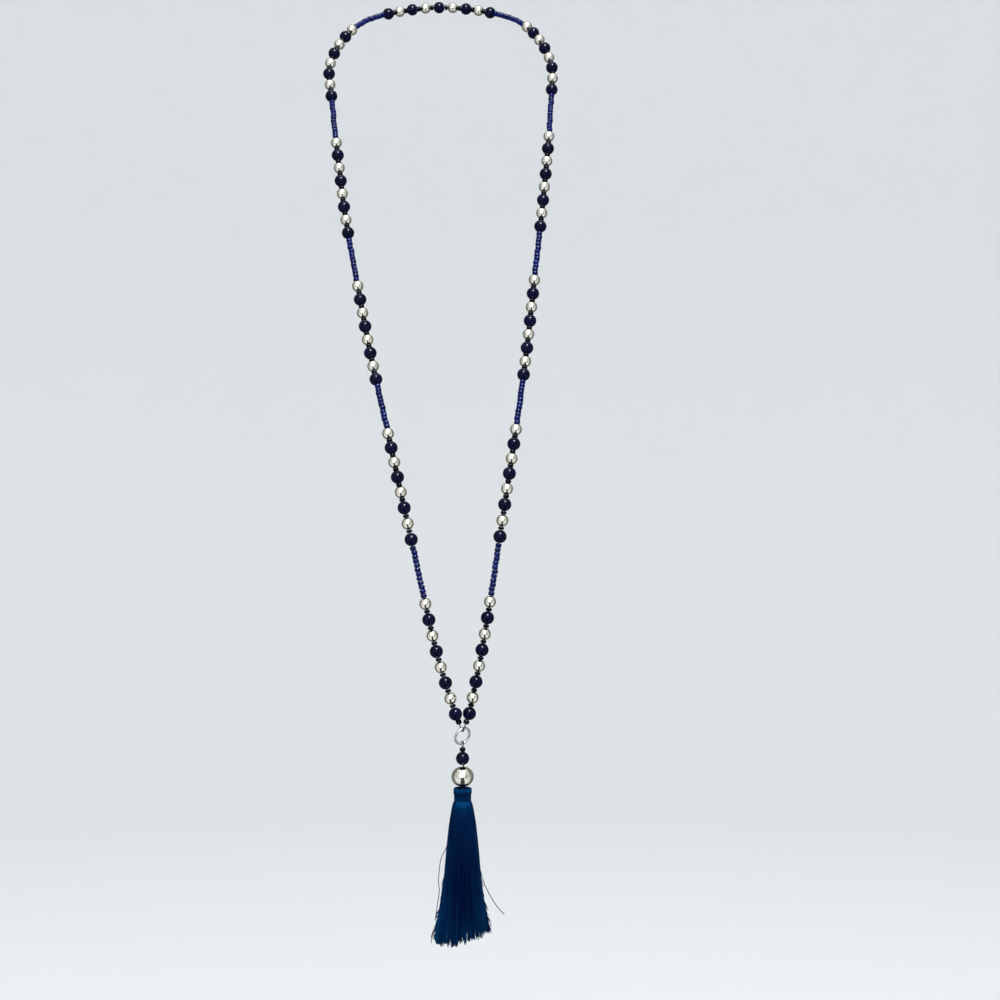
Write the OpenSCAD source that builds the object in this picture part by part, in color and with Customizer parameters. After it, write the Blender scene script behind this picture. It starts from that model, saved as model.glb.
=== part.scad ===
// Long beaded necklace with a tassel drop, as it hangs round a neck.
// Navy and silver round beads are strung in groups, and runs of cobalt seed beads part the groups.
// Both strands meet above a jump ring, and a seed, two beads and a silk tassel hang from the ring.
// Millimetres. +Z is up, +X is the viewer's right, and the front faces -Y.
// The origin is the centre of the middle bead, at the back of the neck.

/* [Round beads] */
// Diameter of a navy bead
navy_d = 7; // [6:0.1:8]
// Diameter of a silver bead
silver_d = 6.3; // [5:0.1:7]
// Diameter of the hole through a round bead
bead_bore = 1.4; // [1.3:0.05:1.8]
// Round beads in each group
group_beads = 8; // [4:2:10]
// Groups on each side
side_groups = 5; // [3:1:6]
// Round beads in the group at the back of the neck
nape_beads = 9; // [5:2:13]

/* [Seed beads] */
// Diameter of a seed bead
seed_d = 3; // [2.4:0.1:3.4]
// Length of a dark seed bead along the thread
seed_len = 1.65; // [1.4:0.05:2.4]
// Length of the three lowest dark seed beads, two on the strands and one on the drop
foot_seed_len = 2.2; // [1.4:0.05:2.6]
// Length of a cobalt seed bead along the thread
run_seed_len = 2.2; // [1.4:0.05:2.4]
// Diameter of the hole through a seed bead
seed_bore = 1.2; // [1.1:0.05:1.4]
// Seed beads in each cobalt run
run_seeds = 12; // [8:1:20]

/* [Thread] */
// Diameter of the beading thread
thread_d = 0.6; // [0.4:0.05:0.7]
// Clear gap between neighbours on the thread
item_gap = 0.1; // [0.1:0.05:0.3]
// Clear gap between the two lowest beads
pair_gap = 0.7; // [0.5:0.1:2]
// Turn of the two lowest beads about the vertical, the left one forward
pair_turn = 20; // [10:1:30]
// Bare thread between the lowest seed bead and the middle of the ring's wire
leg_tail = 2.8; // [2:0.1:4]

/* [Jump ring] */
// Outer diameter of the jump ring
ring_d = 10.2; // [9:0.1:14]
// Thickness of the ring's wire
ring_wire = 1.3; // [0.8:0.05:1.5]
// Turn of the ring about the vertical, its left side forward
ring_turn = 36; // [20:1:50]
// Lean of the ring from its foot, its top forward
ring_lean = 24; // [0:1:30]
// Clear gap between the ring's wire and a thread round it
ring_play = 0.3; // [0.15:0.05:0.5]

/* [Drop] */
// Diameter of the thread that carries the drop
drop_thread_d = 0.8; // [0.6:0.05:0.9]
// Diameter of the eye's thread
eye_thread_d = 0.6; // [0.4:0.05:0.8]
// Bare thread between the eye and the drop's seed bead
eye_bare = 0.6; // [0.2:0.1:2]
// Width of the silver pendant bead
pendant_d = 11.6; // [11:0.1:15]
// Height of the silver pendant bead
pendant_h = 10; // [8:0.1:10.8]
// Diameter of the hole through the pendant bead
pendant_bore = 1.8; // [1.4:0.1:2.4]
// Bare thread between the navy drop bead and the pendant bead
drop_bare = 1; // [0.5:0.1:4]
// Bare thread between the pendant bead and the tassel's head
head_gap = 0.7; // [0.1:0.1:1.5]

/* [Tassel] */
// Length of the tassel from the top of its head to its longest tips
tassel_len = 82; // [60:1:110]
// Width across the tips
tassel_w = 29; // [20:0.5:40]
// Diameter of the head
head_d = 9.6; // [8:0.1:12]
// Height of the head above the binding
head_h = 3.8; // [3:0.1:6]
// Diameter over the binding
waist_d = 9.1; // [7.6:0.1:11]
// Thickness of the binding thread
binding_wire = 0.4; // [0.3:0.05:0.6]
// Turns of the binding thread
binding_turns = 8; // [5:1:12]
// Clear gap between the binding and the silk under it
binding_gap = 0.1; // [0.1:0.05:0.2]
// Depth of the hole in the head that takes the drop's thread
head_bore_depth = 5; // [3:0.5:8]
// Locks of silk round the skirt
locks = 15; // [11:1:19]

/* [Hidden] */

navy_colour = "midnightblue";
silver_colour = "silver";
seed_colour = "royalblue";
spacer_colour = "navy";
thread_colour = "black";
silk_colour = "darkslateblue";

round_fn = 32;
bore_fn = 24;
run_sides = 10;
thread_sides = 8;

// The two strands as they lie on a neck and chest, from the lowest row up to the nape.
// Each row is [height, left side, right side, depth]. The nape itself is at zero.
strand_route = [
    [-385, 2.5, 26, -169],
    [-345, -6.5, 32.5, -170],
    [-305, -15.5, 38.5, -167.5],
    [-265, -25, 44.5, -153],
    [-225, -35, 50, -132],
    [-185, -43.5, 54.5, -115],
    [-145, -51.5, 59, -99],
    [-105, -57.5, 63, -83.5],
    [-70, -62.5, 65.5, -66],
    [-50, -64.5, 66, -55],
    [-31, -58, 59, -41.5],
    [-15, -46, 46.5, -24],
    [-4.5, -26, 26, -7]];
// Where the two strands meet, midway between their lowest beads
strands_meet = [16, -169, -417];

// Spacing along the thread, counted from the middle bead
bead_pitch = (navy_d + silver_d) / 2 + seed_len + 2 * item_gap;
run_len = run_seeds * (run_seed_len + item_gap) - item_gap;
run_span = (navy_d + silver_d) / 2 + run_len + 2 * item_gap;
nape_half = (nape_beads - 1) / 2 * bead_pitch;
group_len = (group_beads - 1) * bead_pitch;
half_len = nape_half + side_groups * (run_span + group_len);
seed_step = item_gap + seed_len / 2;
end_seed_at = half_len + navy_d / 2 + item_gap + foot_seed_len / 2;

// The ring hangs on the thread under the two lowest beads
ring_mid_r = (ring_d - ring_wire) / 2;
ring_across = [cos(ring_turn), sin(ring_turn), 0];
ring_normal = [sin(ring_turn), -cos(ring_turn), 0];
ring_up = [0, -sin(ring_lean), cos(ring_lean)];
thread_bend_r = ring_wire / 2 + ring_play + thread_d / 2;
pair_half = (navy_d + pair_gap) / 2 * [cos(pair_turn), sin(pair_turn), 0];
leg_len = navy_d / 2 + item_gap + foot_seed_len + leg_tail;
leg_side = thread_bend_r * ring_normal - pair_half;
leg_drop = sqrt(leg_len * leg_len - leg_side * leg_side);

// The strand's smooth curve, scaled so that its length is that of what is strung on it
samples = 8;
rough = strand_points(1);
stretch = 2 * half_len / (lengths(rough)[len(rough) - 1]);
string = strand_points(stretch);
string_at = lengths(string);
middle = string_at[len(string) - 1] / 2;
nape_shift = point_in(string, string_at, middle);
left_bead = string[0] - nape_shift;
right_bead = string[len(string) - 1] - nape_shift;
ring_top = (left_bead + right_bead) / 2 - [0, 0, leg_drop];
left_foot = ring_top - thread_bend_r * ring_normal;
right_foot = ring_top + thread_bend_r * ring_normal;

// The whole centre line from one foot at the ring, round the neck, to the other foot
line = concat([left_foot], [for (p = string) p - nape_shift], [right_foot]);
line_at = lengths(line);
line_middle = line_at[len(line) - 1] / 2;

// The drop, measured down from the middle of the ring's lowest wire
ring_foot = ring_top - 2 * ring_mid_r * ring_up;
eye_r = ring_wire / 2 + ring_play + eye_thread_d / 2;
drop_seed_top = eye_r + eye_thread_d / 2 + eye_bare;
drop_bead_top = drop_seed_top + foot_seed_len + item_gap;
pendant_top = drop_bead_top + navy_d + drop_bare;
tassel_top = pendant_top + pendant_h + head_gap;
drop_thread_end = tassel_top + head_bore_depth - 2 * item_gap;

// The silk under the binding
waist_h = binding_turns * binding_wire * 0.9;
silk_waist_r = waist_d / 2 - binding_wire - binding_gap;
skirt_top = head_h + waist_h;

// Catmull-Rom curve between p1 and p2
function bend(p0, p1, p2, p3, t) =
    (2 * p1 + (p2 - p0) * t + (2 * p0 - 5 * p1 + 4 * p2 - p3) * t * t
    + (3 * p1 - p0 - 3 * p2 + p3) * t * t * t) / 2;

// The strand's curve through the scaled route, with the end beads at their own spacing
function strand_points(k) =
    let (meet = k * strands_meet,
        knots = concat([meet - pair_half],
            [for (r = strand_route) k * [r[1], r[3], r[0]]],
            [[0, 0, 0]],
            [for (i = [len(strand_route) - 1:-1:0]) let (r = strand_route[i]) k * [r[2], r[3], r[0]]],
            [meet + pair_half]),
        last = len(knots) - 1)
    concat([for (i = [0:last - 1], j = [0:samples - 1])
        bend(knots[max(i - 1, 0)], knots[i], knots[i + 1], knots[min(i + 2, last)], j / samples)],
        [knots[last]]);

// Length of a line of points up to each of them
function lengths(points) =
    [for (i = 0, s = 0; i < len(points);
        s = s + (i + 1 < len(points) ? norm(points[i + 1] - points[i]) : 0), i = i + 1) s];

// The point at length s along a line of points
function point_in(points, at, s) =
    [for (axis = [0:2]) lookup(s, [for (i = [0:len(points) - 1]) [at[i], points[i][axis]]])];

// The centre line at length s from the middle bead, less than zero on the left
line_tables = [for (axis = [0:2]) [for (i = [0:len(line) - 1]) [line_at[i], line[i][axis]]]];
function on_line(s) = [for (table = line_tables) lookup(line_middle + s, table)];

// Stations along the strand of every round bead of one kind, a middle bead included
function group_top(g) = nape_half + (g + 1) * run_span + g * group_len;
function bead_stations(navy) =
    concat([for (i = [0:nape_beads - 1]) if ((i % 2 == 0) == navy) i * bead_pitch - nape_half],
        [for (side = [-1, 1], g = [0:side_groups - 1], b = [0:group_beads - 1])
            if ((b % 2 == 1) == navy) side * (group_top(g) + b * bead_pitch)]);

// Seed beads between the round beads of a group, each after the bead that is nearer the nape
function seed_after(b, first_navy) =
    ((b % 2 == 0) == first_navy ? navy_d : silver_d) / 2 + seed_step;
function spacer_stations() =
    concat([for (i = [0:nape_beads - 2]) i * bead_pitch - nape_half + seed_after(i, true)],
        [for (side = [-1, 1], g = [0:side_groups - 1], b = [0:group_beads - 2])
            side * (group_top(g) + b * bead_pitch + seed_after(b, false))]);

// Ring of points round a centre line, square to the direction d
function round_at(p, d, r, sides) =
    let (u = cross(d, [0, 1, 0]), a = u / norm(u), b = cross(d, a) / norm(d))
    [for (i = [0:sides - 1]) p + r * (cos(360 * i / sides) * a + sin(360 * i / sides) * b)];

// A closed cord through a closed list of points
module closed_cord(points, d, sides) {
    n = len(points);
    rings = [for (i = [0:n - 1])
        round_at(points[i], points[(i + 1) % n] - points[(i + n - 1) % n], d / 2, sides)];
    polyhedron([for (ring = rings) each ring],
        [for (i = [0:n - 1], j = [0:sides - 1])
            let (a = i * sides, b = ((i + 1) % n) * sides, k = (j + 1) % sides)
            each [[a + j, b + j, b + k], [a + j, b + k, a + k]]]);
}

// A tube with a bore along the strand between two stations
module string_tube(from, to, d, bore, rings, sides) {
    stations = [for (i = [0:rings - 1]) from + (to - from) * i / (rings - 1)];
    walls = [for (r = [d / 2, bore / 2], s = stations)
        each round_at(on_line(s), on_line(s + 0.5) - on_line(s - 0.5), r, sides)];
    inner = rings * sides;
    last = (rings - 1) * sides;
    polyhedron(walls, concat(
        [for (i = [0:rings - 2], j = [0:sides - 1])
            let (a = i * sides, b = a + sides, k = (j + 1) % sides)
            each [[a + j, b + j, b + k], [a + j, b + k, a + k],
                [inner + a + j, inner + b + k, inner + b + j],
                [inner + a + j, inner + a + k, inner + b + k]]],
        [for (j = [0:sides - 1]) let (k = (j + 1) % sides)
            each [[j, k, inner + k], [j, inner + k, inner + j],
                [last + j, inner + last + k, last + k],
                [last + j, inner + last + j, inner + last + k]]]));
}

// Places a bead on the strand with its hole along the thread
module on_string(s, half) {
    d = on_line(s + half) - on_line(s - half);
    translate(on_line(s)) rotate([0, acos(d[2] / norm(d)), atan2(d[1], d[0])]) children();
}

module round_bead(d, bore) {
    difference() {
        sphere(d = d, $fn = round_fn);
        cylinder(h = d + 1, d = bore, center = true, $fn = bore_fn);
    }
}

module seed_bead(length) {
    difference() {
        cylinder(h = length, d = seed_d, center = true, $fn = bore_fn);
        cylinder(h = length + 1, d = seed_bore, center = true, $fn = bore_fn);
    }
}

// Where the thread leaves a lowest bead, between the middle of its hole and the strand's line
function mouth(s, side) =
    let (half = navy_d / 2, way = on_line(s + half) - on_line(s - half),
        middle = on_line(s) + side * half * way / norm(way))
    middle + 0.55 * (on_line(s + side * half) - middle);

// The beading thread, one loop through every bead and under the top of the ring
module thread() {
    strand_step = 17;
    bend_step = 7;
    bend_from = 130;
    under_ring = [for (a = [0:30:180])
        ring_top + thread_bend_r * (cos(a) * ring_normal - [0, 0, sin(a)])];
    strand = concat([mouth(-half_len, -1), mouth(-half_len, 1), on_line(-half_len + bend_step)],
        [for (s = [-half_len + strand_step:strand_step:-bend_from - 1]) on_line(s)],
        [for (s = [-bend_from:bend_step:bend_from]) on_line(s)],
        [for (s = [half_len - floor((half_len - bend_from - 1) / strand_step) * strand_step
            :strand_step:half_len - strand_step + 0.01]) on_line(s)],
        [on_line(half_len - bend_step), mouth(half_len, -1), mouth(half_len, 1)]);
    color(thread_colour) closed_cord(concat(strand, under_ring), thread_d, thread_sides);
}

module silver_beads() {
    color(silver_colour) for (s = bead_stations(false))
        on_string(s, silver_d / 2) round_bead(silver_d, bead_bore);
}

module navy_beads() {
    color(navy_colour) for (s = bead_stations(true))
        on_string(s, navy_d / 2) round_bead(navy_d, bead_bore);
}

module spacer_seeds() {
    color(spacer_colour) {
        for (s = spacer_stations()) on_string(s, seed_len / 2) seed_bead(seed_len);
        for (s = [-end_seed_at, end_seed_at]) on_string(s, foot_seed_len / 2) seed_bead(foot_seed_len);
    }
}

module seed_runs() {
    rings = 5;
    color(seed_colour) for (side = [-1, 1], g = [0:side_groups - 1]) {
        far = group_top(g) - silver_d / 2 - item_gap;
        ends = [side * far, side * (far - run_len)];
        string_tube(min(ends), max(ends), seed_d, seed_bore, rings, run_sides);
    }
}

// A round wire ring whose flat side faces along +Z
module wire_ring(mid_r, wire) {
    rotate_extrude($fn = round_fn) translate([mid_r, 0]) circle(d = wire, $fn = bore_fn);
}

module jump_ring() {
    color(silver_colour) translate(ring_top - ring_mid_r * ring_up) rotate([ring_lean, 0, 0])
        rotate([90, 0, ring_turn]) wire_ring(ring_mid_r, ring_wire);
}

// Places a piece of the drop a given way below the middle of the ring's lowest wire
module below_ring(down) {
    translate(ring_foot - [0, 0, down]) children();
}

module drop_thread() {
    color(thread_colour) {
        below_ring(0) rotate([90, 0, 90 + ring_turn]) wire_ring(eye_r, eye_thread_d);
        below_ring(drop_thread_end) cylinder(h = drop_thread_end - eye_r, d = drop_thread_d, $fn = bore_fn);
    }
}

module drop_seed() {
    color(spacer_colour) below_ring(drop_seed_top + foot_seed_len / 2) seed_bead(foot_seed_len);
}

module drop_bead() {
    color(navy_colour) below_ring(drop_bead_top + navy_d / 2) round_bead(navy_d, bead_bore);
}

module pendant_bead() {
    flat_r = (pendant_d - pendant_h) / 2;
    color(silver_colour) below_ring(pendant_top + pendant_h / 2) difference() {
        rotate_extrude($fn = round_fn) intersection() {
            translate([0, -pendant_h / 2]) square([pendant_d / 2, pendant_h]);
            union() {
                translate([flat_r, 0]) circle(d = pendant_h, $fn = round_fn);
                translate([0, -pendant_h / 2]) square([flat_r, pendant_h]);
            }
        }
        cylinder(h = pendant_h + 1, d = pendant_bore, center = true, $fn = bore_fn);
    }
}

// Half width of the silk skirt at a share of the way from the binding to the tips.
// Each row is [share of the way down, share of the half width at the tips].
skirt_rows = [[0, 0.34], [0.04, 0.37], [0.15, 0.47], [0.32, 0.57], [0.49, 0.64], [0.66, 0.74],
    [0.82, 0.91], [0.94, 1], [1, 1]];
function skirt_half(share) = tassel_w / 2 * lookup(share, skirt_rows);

// Where a lock ends, as a share of the skirt: shorter on the right, and ragged from lock to lock
function lock_reach(i) = 0.02 * sin(137 * i) - 0.035 * cos(360 * i / locks);
longest_reach = max([for (i = [0:locks - 1]) lock_reach(i)]);
function lock_end(i) = 1 + lock_reach(i) - longest_reach;
function lock_r(share) = skirt_half(share) * (0.3 - 0.06 * share);

// One lock of silk, from just under the binding to its own tip
module silk_lock(i) {
    slice = 0.4;
    top = skirt_top + binding_gap + slice;
    stations = [0, 0.08, 0.22, 0.45, 0.7, 0.9, 1];
    angle = 360 * i / locks;
    for (j = [0:len(stations) - 2]) hull() for (q = [stations[j], stations[j + 1]]) {
        share = q * lock_end(i);
        r = lock_r(share) * (q == 1 ? 0.6 : 1);
        out = skirt_half(share) - r;
        sway = angle + 6 * sin(360 * share + 137 * i);
        translate([out * cos(sway), out * sin(sway), -top - share * (tassel_len - top)])
            rotate([0, 0, angle]) cylinder(h = slice, r = r, $fn = 10);
    }
}

module tassel() {
    core_end = 0.86;
    skirt_len = tassel_len - skirt_top;
    edge = 0.8;
    core = [for (share = [0, 0.15, 0.4, 0.66, core_end])
        [skirt_half(share) - lock_r(share), -skirt_top - share * skirt_len]];
    color(silk_colour) below_ring(tassel_top) difference() {
        union() {
            rotate_extrude($fn = round_fn) polygon(concat(
                [[0, 0], [head_d / 2 - edge, 0], [head_d / 2 - edge * 0.3, -edge * 0.3], [head_d / 2, -edge],
                    [head_d / 2, -head_h + edge], [silk_waist_r, -head_h], [silk_waist_r, -skirt_top]],
                core, [[0, core[len(core) - 1][1]]]));
            for (i = [0:locks - 1]) silk_lock(i);
        }
        translate([0, 0, -head_bore_depth])
            cylinder(h = head_bore_depth + 1, d = drop_thread_d + 4 * item_gap, $fn = bore_fn);
    }
}

module tassel_binding() {
    first = binding_wire / 2;
    step = (waist_h - binding_wire) / (binding_turns - 1);
    color(thread_colour) for (i = [0:binding_turns - 1])
        below_ring(tassel_top + head_h + first + i * step)
            wire_ring((waist_d - binding_wire) / 2, binding_wire);
}

thread();
silver_beads();
navy_beads();
spacer_seeds();
seed_runs();
jump_ring();
drop_thread();
drop_seed();
drop_bead();
pendant_bead();
tassel();
tassel_binding();
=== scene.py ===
"""Looks of the long beaded necklace with a silk tassel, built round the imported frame.

The sizes in the classes are millimetres, as a jeweller gives them, and repeat those of the part's
own source. object_from() and strand_object() turn each finished mesh into metres, so every piece
stands in the frame with its object at the origin.
"""
import logging
import math
import random
from dataclasses import dataclass
from enum import Enum
from typing import Any, Iterable, Iterator, Sequence

import bmesh
import bpy
import numpy as np
from bmesh.types import BMesh
from bpy.types import Node, NodeSocket, NodeTree, Object
from mathutils import Matrix, Vector


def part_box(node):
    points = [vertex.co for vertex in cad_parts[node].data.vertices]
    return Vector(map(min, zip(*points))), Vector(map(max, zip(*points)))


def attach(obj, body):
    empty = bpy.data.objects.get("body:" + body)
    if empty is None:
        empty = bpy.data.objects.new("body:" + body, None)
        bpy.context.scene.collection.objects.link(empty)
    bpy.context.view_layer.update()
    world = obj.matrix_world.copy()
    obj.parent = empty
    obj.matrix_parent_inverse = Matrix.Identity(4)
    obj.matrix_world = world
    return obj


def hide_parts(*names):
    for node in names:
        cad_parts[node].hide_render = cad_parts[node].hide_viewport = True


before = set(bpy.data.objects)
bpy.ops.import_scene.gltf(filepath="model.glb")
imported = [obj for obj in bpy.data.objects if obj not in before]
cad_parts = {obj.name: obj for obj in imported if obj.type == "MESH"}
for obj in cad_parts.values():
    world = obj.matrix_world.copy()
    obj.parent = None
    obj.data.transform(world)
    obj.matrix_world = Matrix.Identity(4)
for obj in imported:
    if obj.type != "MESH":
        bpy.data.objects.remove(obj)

LOG = logging.getLogger("tassel_necklace")
MM = 0.001
MERGE_DIST = 1e-4
UP = Vector((0.0, 0.0, 1.0))
Profile = list[tuple[float, float]]
Spot = tuple[float, float, float]


class Body(Enum):
    """The moving bodies of the frame."""

    STRAND = "strand"
    RING = "ring"
    DROP = "drop"


class RoundBead(Enum):
    """The two kinds of round bead that take turns along the strand."""

    NAVY = "navy"
    SILVER = "silver"


# Colour and shader helpers

def linear(hex_colour: str) -> tuple[float, float, float, float]:
    """Turns an sRGB hex colour into the linear colour that shaders take.

    Args:
        hex_colour: Six hex digits after a hash sign.

    Returns:
        Linear red, green and blue, with an alpha of one.
    """
    parts = [int(hex_colour[i:i + 2], 16) / 255 for i in (1, 3, 5)]
    return tuple(c / 12.92 if c <= 0.04045 else ((c + 0.055) / 1.055) ** 2.4 for c in parts) + (1.0,)


def per_metre(size_mm: float) -> float:
    """Scale of a texture whose pattern is size_mm wide."""
    return 1 / (size_mm * MM)


def add_node(tree: NodeTree, kind: str, inputs: dict[str | int, Any] | None = None,
             **settings: Any) -> Node:
    """Adds a shader node with its settings, values and links.

    Args:
        tree: The node tree that takes the node.
        kind: The node's type, without the words ShaderNode.
        inputs: A value, or an output to link, for each input by name or number.
        settings: Properties of the node itself.

    Returns:
        The new node.
    """
    node = tree.nodes.new("ShaderNode" + kind)
    for name, value in settings.items():
        setattr(node, name, value)
    for name, value in (inputs or {}).items():
        if isinstance(value, NodeSocket):
            tree.links.new(value, node.inputs[name])
        else:
            node.inputs[name].default_value = value
    return node


@dataclass(frozen=True)
class Finish:
    """A surface finish: a ground colour, a second colour over it, and a fine grain for gloss and relief."""

    name: str
    slot: str = ""
    ground: str = "#ffffff"
    over: str = "#ffffff"
    grain_mm: float = 1.0
    grain_detail: float = 2.0
    squeeze: float = 1.0
    gloss: tuple[float, float] = (0.5, 0.5)
    relief: float = 0.0
    relief_mm: float = 0.02
    metallic: float = 0.0
    ior: float = 1.5
    shine: float = 0.5
    edge: str = "#ffffff"

    def share(self, tree: NodeTree, place: NodeSocket, grain: NodeSocket) -> NodeSocket | None:
        """Builds how much of the second colour shows.

        Args:
            tree: The material's nodes.
            place: The piece's own coordinates.
            grain: The fine grain.

        Returns:
            The share, or nothing where the ground colour shows all over.
        """
        return None

    def roughness(self, share: NodeSocket | None, grain: NodeSocket) -> NodeSocket:
        """What the gloss follows: the grain."""
        return grain

    def material(self) -> bpy.types.Material:
        """Returns the finish as a material, built on its first use."""
        found = bpy.data.materials.get(self.name)
        if found:
            return found
        made = bpy.data.materials.new(self.name)
        made.use_nodes = True
        tree = made.node_tree
        tree.nodes.clear()
        place = add_node(tree, "TexCoord").outputs["Object"]
        if self.squeeze < 1:
            place = add_node(tree, "Mapping", {"Vector": place, "Scale": (1.0, 1.0, self.squeeze)}).outputs[0]
        grain = add_node(tree, "TexNoise", {"Vector": place, "Scale": per_metre(self.grain_mm),
                                            "Detail": self.grain_detail}).outputs["Fac"]
        share = self.share(tree, place, grain)
        low, high = self.gloss
        looks = {"Base Color": linear(self.ground), "Roughness": low, "Metallic": self.metallic,
                 "IOR": self.ior, "Specular IOR Level": self.shine, "Specular Tint": linear(self.edge)}
        if share is not None:
            looks["Base Color"] = add_node(tree, "Mix", {"Factor": share, 6: linear(self.ground),
                                                         7: linear(self.over)}, data_type="RGBA").outputs[2]
        if low < high:
            looks["Roughness"] = add_node(tree, "MapRange", {"Value": self.roughness(share, grain),
                                                             "To Min": low, "To Max": high}).outputs[0]
        if self.relief:
            looks["Normal"] = add_node(tree, "Bump", {"Height": grain, "Strength": self.relief,
                                                      "Distance": self.relief_mm * MM}).outputs[0]
        surface = add_node(tree, "BsdfPrincipled", looks)
        add_node(tree, "OutputMaterial", {"Surface": surface.outputs[0]})
        return made


@dataclass(frozen=True)
class BeadGlass(Finish):
    """Opaque pressed glass, fire polished: deep and even, with a hard gloss and faint mould pits."""

    ground: str = "#01041b"
    over: str = "#050a30"
    cloud_mm: float = 4.0
    grain_mm: float = 0.35
    grain_detail: float = 3.0
    gloss: tuple[float, float] = (0.05, 0.14)
    relief: float = 0.12
    ior: float = 1.52
    shine: float = 0.08

    def share(self, tree: NodeTree, place: NodeSocket, grain: NodeSocket) -> NodeSocket:
        """Builds clouds in the glass, stronger in some beads than in others."""
        tone = add_node(tree, "Attribute", attribute_name="tone").outputs["Fac"]
        cloud = add_node(tree, "TexNoise", {"Vector": place, "Scale": per_metre(self.cloud_mm)})
        return add_node(tree, "Math", {0: cloud.outputs["Fac"], 1: tone}, operation="MULTIPLY").outputs[0]


@dataclass(frozen=True)
class SeedGlass(BeadGlass):
    """Opaque drawn glass, cut and tumbled smooth: strong colour, soft drawing lines and a wet gloss."""

    ground: str = "#010730"
    over: str = "#021a72"
    cloud_mm: float = 1.1
    grain_mm: float = 1.1
    grain_detail: float = 2.0
    gloss: tuple[float, float] = (0.05, 0.2)
    relief: float = 0.15
    relief_mm: float = 0.05
    shine: float = 0.13


@dataclass(frozen=True)
class PlatedSilver(Finish):
    """Silver plate on a hollow bead, polished: a warm mirror, finely scratched, tarnished at its holes."""

    ground: str = "#dfddd1"
    over: str = "#8d8670"
    # The dark olive edge tint is painted shade: it darkens the rims as if they reflected shaded surroundings
    edge: str = "#8a8468"
    stain_mm: float = 3.0
    stain_share: float = 0.22
    grain_mm: float = 0.3
    grain_detail: float = 5.0
    gloss: tuple[float, float] = (0.102, 0.34)
    relief: float = 0.1
    metallic: float = 1.0

    def share(self, tree: NodeTree, place: NodeSocket, grain: NodeSocket) -> NodeSocket:
        """Builds faint stains, and the tarnish that the hole attribute marks."""
        hole = add_node(tree, "Attribute", attribute_name="hole").outputs["Fac"]
        stain = add_node(tree, "TexNoise", {"Vector": place, "Detail": 4.0,
                                            "Scale": per_metre(self.stain_mm)})
        faint = add_node(tree, "MapRange", {"Value": stain.outputs["Fac"], "From Min": 0.45, "From Max": 0.75,
                                            "To Max": self.stain_share})
        return add_node(tree, "Math", {0: faint.outputs[0], 1: hole}, operation="MAXIMUM").outputs[0]

    def roughness(self, share: NodeSocket | None, grain: NodeSocket) -> NodeSocket:
        """What the gloss follows: the tarnish."""
        return share


@dataclass(frozen=True)
class DrawnWire(Finish):
    """Plated wire, drawn and tumbled: a grey mirror with fine lines along it."""

    ground: str = "#c0c1be"
    # The near black edge tint is painted shade: it draws dark outlines along the wire's rims
    edge: str = "#101010"
    grain_mm: float = 0.25
    grain_detail: float = 3.0
    gloss: tuple[float, float] = (0.06, 0.2)
    relief: float = 0.1
    metallic: float = 1.0


@dataclass(frozen=True)
class WaxedThread(Finish):
    """Waxed polyester beading thread, plied: near black, with a dull waxy shine over its fibres."""

    ground: str = "#05060e"
    over: str = "#171a2c"
    grain_mm: float = 0.15
    grain_detail: float = 4.0
    gloss: tuple[float, float] = (0.38, 0.38)
    relief: float = 0.4
    relief_mm: float = 0.05

    def share(self, tree: NodeTree, place: NodeSocket, grain: NodeSocket) -> NodeSocket:
        """The lighter fibres show where the grain is high."""
        return grain


@dataclass(frozen=True)
class FlossSilk(Finish):
    """Rayon silk floss, combed: each filament is a smooth rod, deep blue with a teal sheen."""

    ground: str = "#020a2e"
    # over is the teal that the painted sheen and highlights in the tone reach
    over: str = "#083d68"
    edge: str = "#0f7fc0"
    grain_mm: float = 1.6
    grain_detail: float = 3.0
    squeeze: float = 0.06
    gloss: tuple[float, float] = (0.42, 0.42)
    ior: float = 1.54
    shine: float = 0.03

    def share(self, tree: NodeTree, place: NodeSocket, grain: NodeSocket) -> NodeSocket:
        """Builds the filaments' tones, their own tone with painted sheen, highlight and shade in it, under
        long streaks down the fall.
        """
        tone = add_node(tree, "Attribute", attribute_name="tone").outputs["Fac"]
        streak = add_node(tree, "MapRange", {"Value": grain, "From Min": 0.3, "From Max": 0.7,
                                             "To Min": 0.65, "To Max": 1.15})
        return add_node(tree, "Math", {0: streak.outputs[0], 1: tone}, operation="MULTIPLY",
                        use_clamp=True).outputs[0]


@dataclass(frozen=True)
class MattPaint(Finish):
    """Matt paint of the studio's floor and cards, rolled on: dull, with faint broad patches."""

    ground: str = "#dfe2e4"
    grain_mm: float = 1000 / 3
    gloss: tuple[float, float] = (0.85, 0.95)


NAVY_GLASS = BeadGlass("navy_pressed_glass", "navy_glass")
SILVER_PLATE = PlatedSilver("polished_silver_plate", "silver_plate")
COBALT_GLASS = SeedGlass("drawn_cobalt_glass", "cobalt_seed_glass")
DARK_GLASS = SeedGlass("drawn_dark_glass", "dark_seed_glass", ground="#010209", over="#05081c",
                       gloss=(0.15, 0.3), shine=0.08)
RING_PLATE = DrawnWire("drawn_plated_wire", "ring_wire")
BEADING_THREAD = WaxedThread("waxed_beading_thread", "thread")
SILK = FlossSilk("rayon_silk_floss", "silk")


# Mesh helpers

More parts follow.
